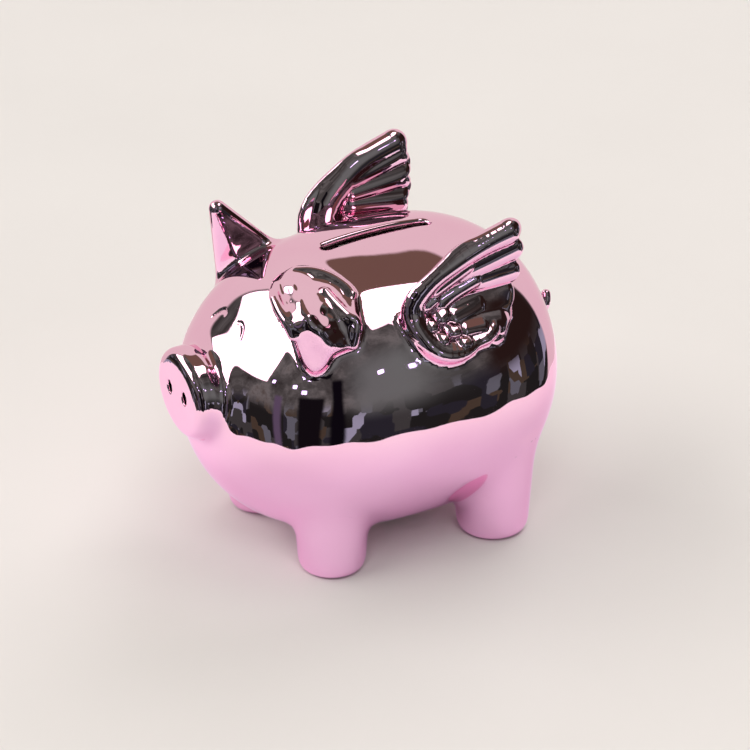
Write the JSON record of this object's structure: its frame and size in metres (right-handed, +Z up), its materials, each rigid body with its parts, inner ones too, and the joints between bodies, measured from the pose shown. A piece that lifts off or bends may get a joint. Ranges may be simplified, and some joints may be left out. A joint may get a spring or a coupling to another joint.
{
  "type": "piggy bank",
  "caption": "Hollow ceramic flying-pig money bank with a coin slot along its back and a rubber stopper that pulls out of the belly.",
  "frame": {"origin": "centre of the bounding box at the table, under the middle of the belly", "axes": "+Z up, -Y towards the snout, +X towards the pig's left side"},
  "size_m": [0.0894, 0.1264, 0.1065],
  "materials": {
    "plated_ceramic": "mirror-bright metallic pink plating over glazed earthenware, bare white inside",
    "stopper_rubber": "satin off-white soft rubber"
  },
  "bodies": {
    "bank": {"body_shell": "plated_ceramic", "snout": "plated_ceramic", "ear_right": "plated_ceramic", "ear_left": "plated_ceramic", "wing_left": "plated_ceramic", "wing_right": "plated_ceramic", "tail": "plated_ceramic", "leg_front_left": "plated_ceramic", "leg_front_right": "plated_ceramic", "leg_rear_left": "plated_ceramic", "leg_rear_right": "plated_ceramic"},
    "plug": {"stopper": "stopper_rubber"}
  },
  "joints": [
    {"name": "stopper_pull", "type": "slide", "parent": "bank", "child": "plug", "axis": [0, 0, -1], "range_m": [0, 0.02]}
  ]
}
